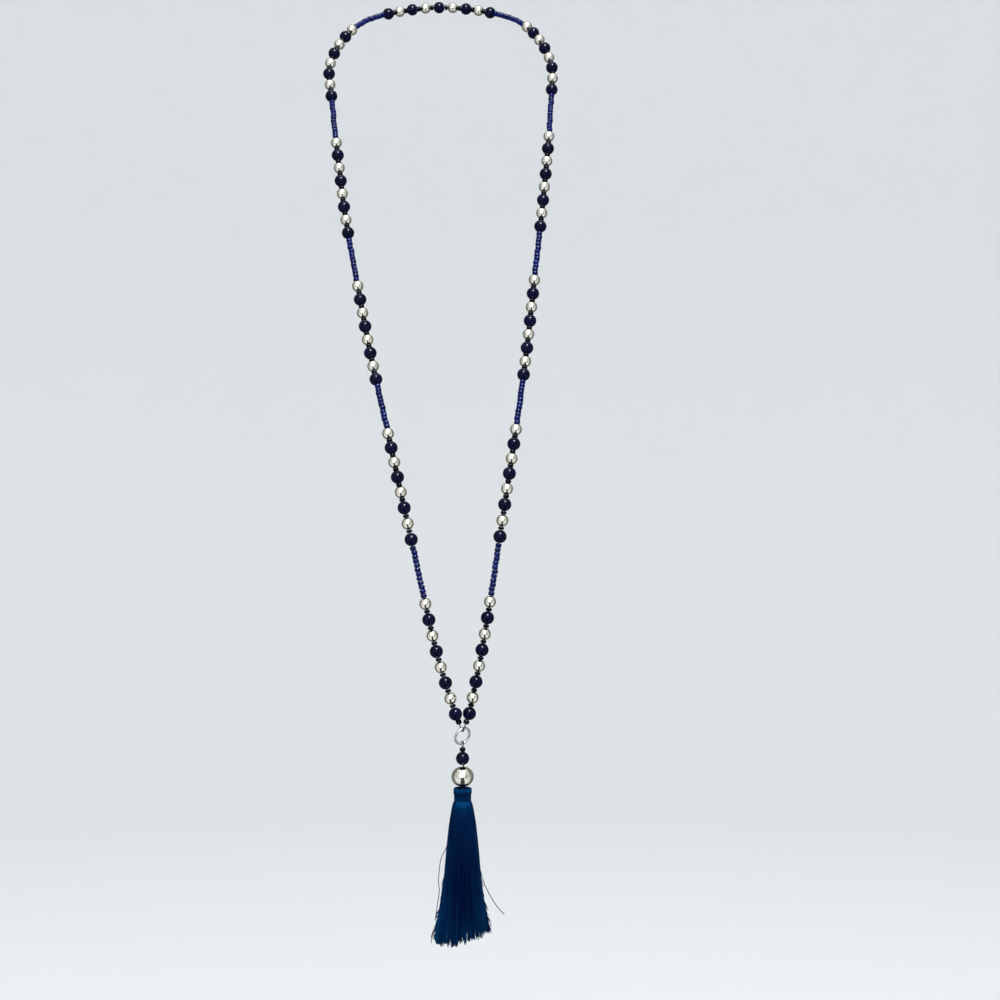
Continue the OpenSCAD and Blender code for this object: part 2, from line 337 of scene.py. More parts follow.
def spin_profile(profile: Profile, steps: int, closed: bool = True, angle: float = math.tau) -> BMesh:
    """Spins a half section about Z into a skin.

    Args:
        profile: Radius and height of each corner of the section.
        steps: Steps of the turn.
        closed: Whether the section's last corner joins its first.
        angle: The turn.

    Returns:
        The skin, with its normals outwards.
    """
    bm = bmesh.new()
    verts = [bm.verts.new((radius, 0.0, height)) for radius, height in profile]
    pairs = list(zip(verts, verts[1:])) + ([(verts[-1], verts[0])] if closed else [])
    edges = [bm.edges.new(pair) for pair in pairs]
    bmesh.ops.spin(bm, geom=verts + edges, cent=(0, 0, 0), axis=(0, 0, 1), dvec=(0, 0, 0),
                   angle=angle, steps=steps, use_merge=angle >= math.tau, use_duplicate=False)
    bmesh.ops.remove_doubles(bm, verts=bm.verts, dist=MERGE_DIST)
    bmesh.ops.recalc_face_normals(bm, faces=bm.faces)
    return bm


def strip(rows: Sequence[Sequence[Spot]]) -> BMesh:
    """Bridges rows of two corners into a strip of faces."""
    bm = bmesh.new()
    edges = [bm.edges.new([bm.verts.new(corner) for corner in row]) for row in rows]
    for pair in zip(edges, edges[1:]):
        bmesh.ops.bridge_loops(bm, edges=pair)
    return bm


def drilled_profile(width: float, height: float, bore: float, rim: float, steps: int) -> Profile:
    """Half section of a drilled bead with round sides and eased hole edges.

    Args:
        width: Width across the bead.
        height: Height along the hole.
        bore: Diameter of the hole.
        rim: How far the hole's edge is eased.
        steps: Steps of the round side.

    Returns:
        Radius and height of each corner.
    """
    side_r = height / 2
    flat = (width - height) / 2
    first = math.asin((bore / 2 + rim - flat) / side_r)
    side = [(flat + side_r * math.sin(a), side_r * math.cos(a))
            for a in (first + (math.pi - 2 * first) * i / steps for i in range(steps + 1))]
    top = side[0][1]
    ease = [(bore / 2 + rim * (1 - math.sin(a)), -top + rim * (1 - math.cos(a)))
            for a in (math.pi / 6, math.pi / 3, math.pi / 2)]
    return side + ease + [(r, -z) for r, z in reversed(ease)]


def seed_profile(width: float, length: float, bore: float, steps: int = 8, square: float = 2.7) -> Profile:
    """Half section of a tumbled seed bead, a soft ring between round and square."""
    wall = (width - bore) / 4
    middle = (width + bore) / 4

    def soft(value: float) -> float:
        """Pushes a sine or cosine out towards a square's side."""
        return math.copysign(abs(value) ** (2 / square), value)

    return [(middle + wall * soft(math.cos(a)), length / 2 * soft(math.sin(a)))
            for a in (-math.tau * i / steps for i in range(steps))]


def add_object(name: str, data: bpy.types.ID) -> Object:
    """Adds an object with this data to the scene."""
    made = bpy.data.objects.new(name, data)
    bpy.context.scene.collection.objects.link(made)
    return made


def object_from(name: str, bm: BMesh, unit: float = MM) -> Object:
    """Makes a smooth object in metres from a finished bmesh.

    Args:
        name: Name of the piece.
        bm: The mesh, which is freed.
        unit: The mesh's unit of length, in metres.

    Returns:
        The object, at the origin.
    """
    bmesh.ops.scale(bm, vec=(unit, unit, unit), verts=bm.verts)
    for face in bm.faces:
        face.smooth = True
    mesh = bpy.data.meshes.new(name)
    bm.to_mesh(mesh)
    bm.free()
    return add_object(name, mesh)


# How far a hole's tarnish spreads, as a share of the bead's half width
TARNISH_REACH = 0.22


def copies_of(pattern: BMesh, places: Iterable[Matrix], seed: int) -> BMesh:
    """Joins copies of one bead into one mesh, each with a tone of its own.

    Args:
        pattern: The bead about the origin, with its hole along Z. It is freed.
        places: Where each copy goes.
        seed: Seed of the tones.

    Returns:
        The joined mesh, with the attributes tone and hole.
    """
    rng = random.Random(seed)
    mesh = bpy.data.meshes.new("pattern")
    reach = max(v.co.xy.length for v in pattern.verts)
    bore = min(v.co.xy.length for v in pattern.verts)
    pattern.to_mesh(mesh)
    pattern.free()
    joined = bmesh.new()
    tone = joined.verts.layers.float.new("tone")
    hole = joined.verts.layers.float.new("hole")
    for place in places:
        start = len(joined.verts)
        joined.from_mesh(mesh)
        joined.verts.ensure_lookup_table()
        fresh = joined.verts[start:]
        bead_tone = rng.uniform(0.4, 1.0)
        for vert in fresh:
            vert[tone] = bead_tone
            vert[hole] = max(0.0, 1 - (vert.co.xy.length - bore) / (TARNISH_REACH * reach)) ** 2
        bmesh.ops.transform(joined, matrix=place, verts=fresh)
    bpy.data.meshes.remove(mesh)
    return joined


@dataclass(frozen=True)
class Strand:
    """One bare strand: its points, and its half thickness and tone, one for all or one for each."""

    points: np.ndarray
    radius: float | np.ndarray
    tone: float | np.ndarray = 0.7


def strand_object(name: str, strands: Sequence[Strand], resolution: int = 0) -> Object:
    """Makes one mesh of many closed tubes, one along each strand.

    Args:
        name: Name of the piece.
        strands: The strands, in millimetres.
        resolution: Bevel resolution. A tube has twice as many sides, and four more.

    Returns:
        The object, at the origin, with the attribute tone.
    """
    curve = bpy.data.curves.new(name, "CURVE")
    curve.dimensions = "3D"
    curve.bevel_depth = MM
    curve.bevel_resolution = resolution
    curve.use_fill_caps = True
    for strand in strands:
        spline = curve.splines.new("POLY")
        spline.points.add(len(strand.points) - 1)
        rows = np.column_stack([strand.points * MM, np.ones(len(strand.points))])
        spline.points.foreach_set("co", rows.ravel())
        spline.points.foreach_set("radius", np.full(len(strand.points), strand.radius))
        spline.use_smooth = True
    draft = add_object(name + "_draft", curve)
    bpy.context.view_layer.update()
    mesh = bpy.data.meshes.new_from_object(draft.evaluated_get(bpy.context.evaluated_depsgraph_get()))
    mesh.name = name
    bpy.data.objects.remove(draft)
    bpy.data.curves.remove(curve)
    # The mesh lists the caps first, from the last strand's end to the first strand's start
    along = [np.full(len(strand.points), strand.tone) for strand in strands]
    caps = [end for own in reversed(along) for end in (own[-1], own[0])]
    tones = np.repeat(np.concatenate([caps, *along]), 4 + 2 * resolution)
    mesh.attributes.new("tone", "FLOAT", "POINT").data.foreach_set("value", tones.astype(np.float32))
    return add_object(name, mesh)


def settle(piece: Object, finish: Finish, body: Body, *nodes: str) -> None:
    """Dresses a piece and ties it to the frame.

    Args:
        piece: The finished piece.
        finish: What it is finished in.
        body: The body that it rides on.
        nodes: The frame's nodes that it stands for.
    """
    piece.data.materials.clear()
    piece.data.materials.append(finish.material())
    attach(piece, body.value)
    if nodes:
        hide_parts(*nodes)
    triangles = sum(len(face.vertices) - 2 for face in piece.data.polygons)
    LOG.info("%s: %d triangles, %s", piece.name, triangles, finish.name)


def bend(p0: np.ndarray, p1: np.ndarray, p2: np.ndarray, p3: np.ndarray, t: float) -> np.ndarray:
    """Catmull-Rom curve between p1 and p2, at the share t of the way."""
    return (2 * p1 + (p2 - p0) * t + (2 * p0 - 5 * p1 + 4 * p2 - p3) * t * t
            + (3 * p1 - p0 - 3 * p2 + p3) * t * t * t) / 2


def smooth_line(knots: np.ndarray, samples: int) -> np.ndarray:
    """A smooth line through knots, with this many points for each stretch."""
    last = len(knots) - 1
    points = [bend(knots[max(i - 1, 0)], knots[i], knots[i + 1], knots[min(i + 2, last)], j / samples)
              for i in range(last) for j in range(samples)]
    return np.array(points + [knots[last]])


def lengths_along(points: np.ndarray) -> np.ndarray:
    """Length of a line of points up to each of them."""
    steps = np.linalg.norm(np.diff(points, axis=0), axis=1)
    return np.concatenate([[0.0], np.cumsum(steps)])


def plied(line: np.ndarray, plies: int, ply_r: float, lay: float) -> list[Strand]:
    """Twists plies round a line, as a thread is plied.

    Args:
        line: The line's points, close together.
        plies: How many plies.
        ply_r: Half thickness of a ply.
        lay: Length of one whole twist.

    Returns:
        One strand for each ply.
    """
    along = np.gradient(line, axis=0)
    along /= np.linalg.norm(along, axis=1)[:, None]
    side = np.cross(along, (0.31, 0.83, 0.46))
    side /= np.linalg.norm(side, axis=1)[:, None]
    other = np.cross(along, side)
    at = lengths_along(line)
    found = []
    for ply in range(plies):
        angle = math.tau * (at / lay + ply / plies)[:, None]
        offset = ply_r * (side * np.cos(angle) + other * np.sin(angle))
        found.append(Strand(line + offset, ply_r))
    return found


# The strand of beads

# Rows down the strand as it is worn: height, left side, right side and depth
STRAND_ROUTE = (
    (-385, 2.5, 26, -169),
    (-345, -6.5, 32.5, -170),
    (-305, -15.5, 38.5, -167.5),
    (-265, -25, 44.5, -153),
    (-225, -35, 50, -132),
    (-185, -43.5, 54.5, -115),
    (-145, -51.5, 59, -99),
    (-105, -57.5, 63, -83.5),
    (-70, -62.5, 65.5, -66),
    (-50, -64.5, 66, -55),
    (-31, -58, 59, -41.5),
    (-15, -46, 46.5, -24),
    (-4.5, -26, 26, -7),
)
STRANDS_MEET = np.array((16.0, -169.0, -417.0))


@dataclass
class StrandPath:
    """The line that the thread follows, and the stations of all that is strung on it."""

    navy_d: float = 7.0
    silver_d: float = 6.3
    bead_bore: float = 1.4
    seed_d: float = 3.0
    seed_bore: float = 1.2
    seed_len: float = 1.65
    foot_seed_len: float = 2.2
    run_seed_len: float = 2.2
    item_gap: float = 0.1
    group_beads: int = 8
    side_groups: int = 5
    nape_beads: int = 9
    run_seeds: int = 12
    pair_gap: float = 0.7
    pair_turn: float = 20.0
    leg_tail: float = 2.8
    ring_d: float = 10.2
    ring_wire: float = 1.3
    ring_turn: float = 36.0
    ring_lean: float = 24.0
    ring_play: float = 0.3
    thread_d: float = 0.6
    samples: int = 8

    def __post_init__(self) -> None:
        """Works out the line from the route and from the length of what is strung."""
        turn, lean = math.radians(self.ring_turn), math.radians(self.ring_lean)
        self.ring_across = np.array((math.cos(turn), math.sin(turn), 0.0))
        self.ring_normal = np.array((math.sin(turn), -math.cos(turn), 0.0))
        self.ring_up = np.array((0.0, -math.sin(lean), math.cos(lean)))
        self.ring_wire_way = (self.ring_across * (1, math.cos(lean), 1)
                              + (0, 0, math.sin(turn) * math.sin(lean)))
        self.ring_mid_r = (self.ring_d - self.ring_wire) / 2
        self.bend_r = self.ring_wire / 2 + self.ring_play + self.thread_d / 2
        pair = math.radians(self.pair_turn)
        half = (self.navy_d + self.pair_gap) / 2 * np.array((math.cos(pair), math.sin(pair), 0.0))
        rough = lengths_along(self.through_route(1.0, half))[-1]
        string = self.through_route(2 * self.half_len / rough, half)
        at = lengths_along(string)
        string = string - [np.interp(at[-1] / 2, at, string[:, i]) for i in range(3)]
        leg = self.navy_d / 2 + self.item_gap + self.foot_seed_len + self.leg_tail
        side = self.bend_r * self.ring_normal - half
        drop = math.sqrt(leg * leg - side @ side)
        self.ring_top = (string[0] + string[-1]) / 2 - (0, 0, drop)
        feet = [self.ring_top + side * self.bend_r * self.ring_normal for side in (-1, 1)]
        self.line = np.vstack([feet[0], string, feet[1]])
        self.line_at = lengths_along(self.line)

    @property
    def bead_pitch(self) -> float:
        """Distance between the centres of two round beads in a group."""
        return (self.navy_d + self.silver_d) / 2 + self.seed_len + 2 * self.item_gap

    @property
    def run_span(self) -> float:
        """Distance between the centres of the round beads above and below a run of seed beads."""
        run_len = self.run_seeds * (self.run_seed_len + self.item_gap) - self.item_gap
        return (self.navy_d + self.silver_d) / 2 + run_len + 2 * self.item_gap

    @property
    def nape_half(self) -> float:
        """Distance from the middle bead to either end of the row over the nape."""
        return (self.nape_beads - 1) / 2 * self.bead_pitch

    @property
    def group_len(self) -> float:
        """Distance between a group's first and last beads."""
        return (self.group_beads - 1) * self.bead_pitch

    @property
    def half_len(self) -> float:
        """Distance along the thread from the middle bead to the lowest bead of a side."""
        return self.nape_half + self.side_groups * (self.run_span + self.group_len)

    @property
    def lowest_seed(self) -> float:
        """Station of the lowest seed bead of the right side."""
        return self.half_len + self.navy_d / 2 + self.item_gap + self.foot_seed_len / 2

    @property
    def ring_foot(self) -> np.ndarray:
        """Middle of the ring's lowest wire."""
        return self.ring_top - 2 * self.ring_mid_r * self.ring_up

    def through_route(self, scale: float, half: np.ndarray) -> np.ndarray:
        """The curve through the scaled route, with the two lowest beads at their own spacing."""
        rows = [np.array(row, float) for row in STRAND_ROUTE]
        left = [scale * row[[1, 3, 0]] for row in rows]
        right = [scale * row[[2, 3, 0]] for row in reversed(rows)]
        meet = scale * STRANDS_MEET
        return smooth_line(np.array([meet - half, *left, (0, 0, 0), *right, meet + half]), self.samples)

    def at(self, station: float) -> Vector:
        """The point at a length along the line from the middle bead, below zero on the left."""
        where = self.line_at[-1] / 2 + station
        return Vector([np.interp(where, self.line_at, self.line[:, i]) for i in range(3)])

    def place(self, station: float, half: float) -> Matrix:
        """Where a bead goes whose hole follows the thread and is 2 * half long."""
        along = self.at(station + half) - self.at(station - half)
        return Matrix.Translation(self.at(station)) @ UP.rotation_difference(along).to_matrix().to_4x4()

    def groups(self) -> list[tuple[int, float]]:
        """Side of each group, and how far its first bead is from the middle bead."""
        return [(side, self.nape_half + (group + 1) * self.run_span + group * self.group_len)
                for side in (-1, 1) for group in range(self.side_groups)]

    def strung_beads(self) -> Iterator[tuple[RoundBead, int, float, bool]]:
        """Kind, side and distance of each round bead, and whether it ends its row."""
        rows = [(1, -self.nape_half, self.nape_beads, (RoundBead.NAVY, RoundBead.SILVER))]
        rows += [(*group, self.group_beads, (RoundBead.SILVER, RoundBead.NAVY)) for group in self.groups()]
        for side, first, count, kinds in rows:
            for i in range(count):
                yield kinds[i % 2], side, first + i * self.bead_pitch, i == count - 1

    def width(self, kind: RoundBead) -> float:
        """Width of a round bead of one kind."""
        return self.navy_d if kind is RoundBead.NAVY else self.silver_d

    def round_stations(self, kind: RoundBead) -> list[float]:
        """Stations of every round bead of one kind."""
        return [side * away for own, side, away, _ in self.strung_beads() if own is kind]

    def spacer_stations(self) -> list[float]:
        """Stations of the dark seed beads between round beads."""
        step = self.item_gap + self.seed_len / 2
        return [side * (away + (self.width(kind) / 2 + step))
                for kind, side, away, last in self.strung_beads() if not last]

    def run_stations(self) -> list[float]:
        """Stations of the cobalt seed beads in all the runs."""
        pitch = self.run_seed_len + self.item_gap
        first = self.silver_d / 2 + self.item_gap + self.run_seed_len / 2
        return [side * (top - first - i * pitch)
                for side, top in self.groups() for i in range(self.run_seeds)]


@dataclass
class BeadStrand:
    """The whole loop of thread with its round beads and seed beads."""

    path: StrandPath
    bead_rim: float = 0.22
    bead_steps: int = 16
    bead_sides: int = 32
    seed_sides: int = 12
    seed_square: float = 4.0
    seed_play: float = 0.26
    seed_tilt: float = 8.0
    plies: int = 3
    lay: float = 2.6

    def round_beads(self, kind: RoundBead) -> BMesh:
        """Strings all the round beads of one kind, each turned at random about its hole."""
        width = self.path.width(kind)
        rng = random.Random(kind.value)
        profile = drilled_profile(width, width, self.path.bead_bore, self.bead_rim, self.bead_steps)
        places = [self.path.place(s, width / 2) @ Matrix.Rotation(rng.uniform(0, math.tau), 4, "Z")
                  for s in self.path.round_stations(kind)]
        return copies_of(spin_profile(profile, self.bead_sides), places, seed=len(places))

    def seed_beads(self, stations: dict[float, float], profile: Profile, loose: float,
                   seed: int) -> BMesh:
        """Strings seed beads, each a little askew on the thin thread.

        Args:
            stations: Where the beads are on the thread, and how many times the profile's length each is.
            profile: Half section of one bead.
            loose: How far of their play and tilt they use, from 0 to 1.
            seed: Seed of the small differences.

        Returns:
            The joined beads.
        """
        rng = random.Random(seed)
        pattern = spin_profile(profile, self.seed_sides)
        places = []
        for station, stretch in stations.items():
            size = Matrix.Diagonal((1.0, 1.0, stretch, 1.0))
            lean = Matrix.Rotation(math.radians(self.seed_tilt) * loose * rng.uniform(0.3, 1), 4, "X")
            shift = Matrix.Translation((self.seed_play * loose * rng.uniform(0, 1), 0, 0))
            spin = Matrix.Rotation(rng.uniform(0, math.tau), 4, "Z")
            places.append(self.path.place(station, self.path.seed_len / 2) @ spin @ shift @ lean @ size)
        return copies_of(pattern, places, seed)

    def thread_strands(self) -> list[Strand]:
        """The thread inside the beads, and its plied bend under the ring's top."""
        path = self.path
        lowest = path.lowest_seed
        inside = np.array([path.at(s) for s in np.linspace(-lowest, lowest, 340)])
        hidden = Strand(inside, path.thread_d / 2 * 0.9)
        turn = np.radians(np.linspace(0, 180, 13))[1:-1, None]
        ply_r = path.thread_d / self.plies
        bend_r = path.bend_r + 2 * ply_r - path.thread_d / 2
        under = path.ring_top + bend_r * (np.cos(turn) * path.ring_normal - np.sin(turn) * np.array(UP))
        knots = np.vstack([path.at(lowest), path.at(lowest + 1.5), under,
                           path.at(-lowest - 1.5), path.at(-lowest)])
        return [hidden, *plied(smooth_line(knots, 5), self.plies, ply_r, self.lay)]

    def build(self) -> None:
        """Builds the thread and everything on it."""
        path = self.path
        for kind, finish in ((RoundBead.NAVY, NAVY_GLASS), (RoundBead.SILVER, SILVER_PLATE)):
            beads = object_from(f"{kind.value}_round_beads", self.round_beads(kind))
            settle(beads, finish, Body.STRAND, f"{kind.value}_beads")
        spacers = dict.fromkeys(path.spacer_stations(), 1.0)
        spacers |= dict.fromkeys((-path.lowest_seed, path.lowest_seed), path.foot_seed_len / path.seed_len)
        runs = dict.fromkeys(path.run_stations(), 1.0)
        for name, stations, swell, length, loose, seed, finish, node in (
                ("dark_spacer_seeds", spacers, 1.05, path.seed_len, 0.3, 3, DARK_GLASS, "spacer_seeds"),
                ("cobalt_seed_runs", runs, 1.1, path.run_seed_len, 1.0, 5, COBALT_GLASS, "seed_runs")):
            profile = seed_profile(path.seed_d * swell, length, path.seed_bore, square=self.seed_square)
            beads = object_from(name, self.seed_beads(stations, profile, loose, seed))
            settle(beads, finish, Body.STRAND, node)
        settle(strand_object("beading_thread", self.thread_strands(), 1), BEADING_THREAD, Body.STRAND,
               "thread")

    def report_fit(self) -> None:
        """Warns if the strand drifts from the frame's own beads."""
        points = np.array([self.path.at(s) for s in self.path.round_stations(RoundBead.NAVY)])
        reach = self.path.navy_d / 2
        own = np.array((points.min(0) - reach, points.max(0) + reach))
        drift = np.abs(own - np.array(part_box("navy_beads")) / MM).max()
        LOG.log(logging.WARNING if drift > 0.3 else logging.INFO, "beads off the frame by %.2f mm", drift)


# The ring and the drop

@dataclass
class JumpRing:
    """The round wire ring with its closed seam."""

    path: StrandPath
    seam: float = 0.09
    seam_turn: float = 28.0
    seam_ease: float = 0.08
    wire_sides: int = 16
    steps: int = 72

    def build(self) -> None:
        """Spins the wire round nearly a whole turn, caps it and eases its cut ends."""
        path = self.path
        bm = bmesh.new()
        gap = self.seam / path.ring_mid_r
        made = bmesh.ops.create_circle(bm, segments=self.wire_sides, radius=path.ring_wire / 2,
                                       cap_ends=False)
        upright = Matrix.Translation((path.ring_mid_r, 0, 0)) @ Matrix.Rotation(math.pi / 2, 4, "X")
        bmesh.ops.transform(bm, matrix=upright, verts=made["verts"])
        bmesh.ops.spin(bm, geom=bm.verts[:] + bm.edges[:], cent=(0, 0, 0), axis=(0, 0, 1), dvec=(0, 0, 0),
                       angle=math.tau - gap, steps=self.steps, use_merge=False, use_duplicate=False)
        rims = [edge for edge in bm.edges if edge.is_boundary]
        caps = bmesh.ops.holes_fill(bm, edges=rims, sides=self.wire_sides)["faces"]
        bmesh.ops.bevel(bm, geom=list({e for face in caps for e in face.edges}), offset=self.seam_ease,
                        segments=2, profile=0.5, affect="EDGES", material=-1)
        bmesh.ops.recalc_face_normals(bm, faces=bm.faces)
        facing = np.cross(path.ring_wire_way, path.ring_up)
        axes = Matrix((path.ring_wire_way, path.ring_up, facing)).transposed().to_4x4()
        centre = Vector(path.ring_top - path.ring_mid_r * path.ring_up)
        turn = Matrix.Rotation(math.radians(self.seam_turn), 4, "Z")
        bmesh.ops.transform(bm, matrix=Matrix.Translation(centre) @ axes @ turn, verts=bm.verts)
        settle(object_from("jump_ring_wire", bm), RING_PLATE, Body.RING, "jump_ring")


@dataclass
class BeadDrop:
    """The looped thread under the ring, and the seed and two beads on it."""

    path: StrandPath
    eye_thread_d: float = 0.6
    eye_bare: float = 0.6
    drop_bare: float = 1.0
    head_gap: float = 0.7
    pendant_d: float = 11.6
    pendant_h: float = 10.0
    pendant_bore: float = 1.8
    head_bore_depth: float = 5.0
    ply_d: float = 0.44
    kink: float = 0.6
    kink_len: float = 0.7
    lay: float = 3.4
    thread_step: float = 0.28

    def __post_init__(self) -> None:
        """Works out how far below the ring's foot each piece starts."""
        gap = self.path.item_gap
        self.eye_r = self.path.ring_wire / 2 + self.path.ring_play + self.eye_thread_d / 2
        self.seed_top = self.eye_r + self.eye_thread_d / 2 + self.eye_bare
        self.bead_top = self.seed_top + self.path.foot_seed_len + gap
        self.pendant_top = self.bead_top + self.path.navy_d + self.drop_bare
        self.tassel_top = self.pendant_top + self.pendant_h + self.head_gap
        self.thread_end = self.tassel_top + self.head_bore_depth - 2 * gap

    def thread_strand(self) -> Strand:
        """One thread that comes up, loops the ring's foot and goes down twisted about itself."""
        normal, across, foot = self.path.ring_normal, self.path.ring_across, self.path.ring_foot
        up = np.array(UP)
        neck = self.eye_r + self.eye_thread_d
        downs = np.arange(neck, self.thread_end, self.thread_step)
        angle = math.tau * (downs - neck) / self.lay
        twist = self.ply_d / 2 * (np.cos(angle)[:, None] * normal + np.sin(angle)[:, None] * across)
        bare = self.bead_top + self.path.navy_d + self.drop_bare / 2
        bow = self.kink * np.exp(-((downs - bare) / self.kink_len) ** 2)[:, None] * across
        centre = foot - downs[:, None] * up + bow
        loop_at = np.radians(np.arange(-45, 226, 15))[:, None]
        loop = foot + self.eye_r * (np.cos(loop_at) * normal + np.sin(loop_at) * up)
        return Strand(np.vstack([(centre + twist)[::-1], loop, centre - twist]), self.ply_d / 2)

    def build(self) -> None:
        """Builds the thread and its beads."""
        path = self.path
        settle(strand_object("drop_twisted_thread", [self.thread_strand()], 2), BEADING_THREAD, Body.DROP,
               "drop_thread")
        beads = (
            ("drop_dark_seed", seed_profile(path.seed_d, path.foot_seed_len, path.seed_bore, 12), 24,
             self.seed_top + path.foot_seed_len / 2, DARK_GLASS, "drop_seed"),
            ("drop_navy_bead", drilled_profile(path.navy_d, path.navy_d, path.bead_bore, 0.25, 28), 56,
             self.bead_top + path.navy_d / 2, NAVY_GLASS, "drop_bead"),
            ("pendant_silver_bead",
             drilled_profile(self.pendant_d, self.pendant_h, self.pendant_bore, 0.3, 40), 80,
             self.pendant_top + self.pendant_h / 2, SILVER_PLATE, "pendant_bead"),
        )
        for seed, (name, profile, sides, down, finish, node) in enumerate(beads, start=7):
            middle = Matrix.Translation(Vector(path.ring_foot) - down * UP)
            bead = copies_of(spin_profile(profile, sides), [middle], seed)
            settle(object_from(name, bead), finish, Body.DROP, node)


# The silk tassel

@dataclass(frozen=True)
class Wisp:
    """A small bundle of strands that close up towards one tip."""

    angle: float
    end: float
    flare: float
    sway: float
    tone: float


# Strands that have come loose: rows of share of the way down, distance out and depth, in millimetres
LOOSE_STRANDS = (
    ((0.26, -7.2, -1.0), (0.33, -8.6, -1.5), (0.4, -11.2, -1.7), (0.49, -12.2, -1.5), (0.57, -12.6, -1.2),
     (0.62, -12.1, -0.8), (0.71, -13.0, -0.6), (0.84, -14.5, 0.2)),
    ((0.4, 8.0, -1.2), (0.48, 9.3, -1.6), (0.57, 11.3, -1.9), (0.65, 14.2, -2.2), (0.73, 18.0, -2.4),
     (0.785, 21.8, -2.5)),
    ((0.66, 10.6, -1.0), (0.79, 12.8, -1.2), (0.835, 13.9, -1.0), (0.875, 15.1, -0.8)),
    ((0.5, -8.8, -2.6), (0.56, -10.4, -3.0), (0.62, -10.7, -3.2), (0.68, -11.3, -3.1), (0.76, -12.0, -3.0)),
    ((0.72, -11.2, 1.0), (0.84, -13.6, 0.6), (0.9, -15.2, 0.2), (0.955, -16.6, -0.2)),
    ((0.74, -11.4, -2.0), (0.86, -13.8, -2.4), (0.93, -15.6, -2.6), (0.985, -16.4, -2.8)),
    ((0.45, 1.6, 8.6), (0.55, 2.4, 11.2), (0.68, 2.2, 13.6), (0.8, 3.4, 15.0), (0.88, 4.6, 17.2)),
    ((0.6, -3.5, 9.6), (0.72, -4.4, 12.4), (0.82, -4.2, 14.6), (0.93, -5.6, 16.0)),
)

# Share of the way down, and the skirt's width there as a share of its whole width
SKIRT_FALL = ((0, 0.04, 0.15, 0.32, 0.49, 0.66, 0.82, 0.94, 1),
              (0.34, 0.37, 0.47, 0.57, 0.64, 0.74, 0.91, 1, 1))
# Share of the way down, and tone of a skirt strand there, which paints light into the silk: painted sheen all
# round, lighter near the top and the tips and darkest in the middle, more painted sheen at the sides, and a
# painted highlight in a band under the binding
FALL_SHEEN_TONE = ((0, 0.05, 0.15, 0.35, 0.5, 0.75, 0.92, 1), (0.4, 0.25, 0.16, 0.11, 0.03, 0.09, 0.34, 0.42))
SIDE_SHEEN_TONE = ((0.1, 0.5, 0.78, 1), (0, 0.26, 0.42, 0.25))
BAND_HIGHLIGHT_TONE = ((0, 0.02, 0.05), (1.2, 1.3, 0))
# Point along a head strand, and tone there: a painted highlight on the folded rim, and painted shade on the
# top under the pendant
HEAD_HIGHLIGHT_SHADE_TONE = ((0, 7, 10, 12, 14, 22), (0.05, 0.2, 1.0, 1.1, 0.25, 0.2))


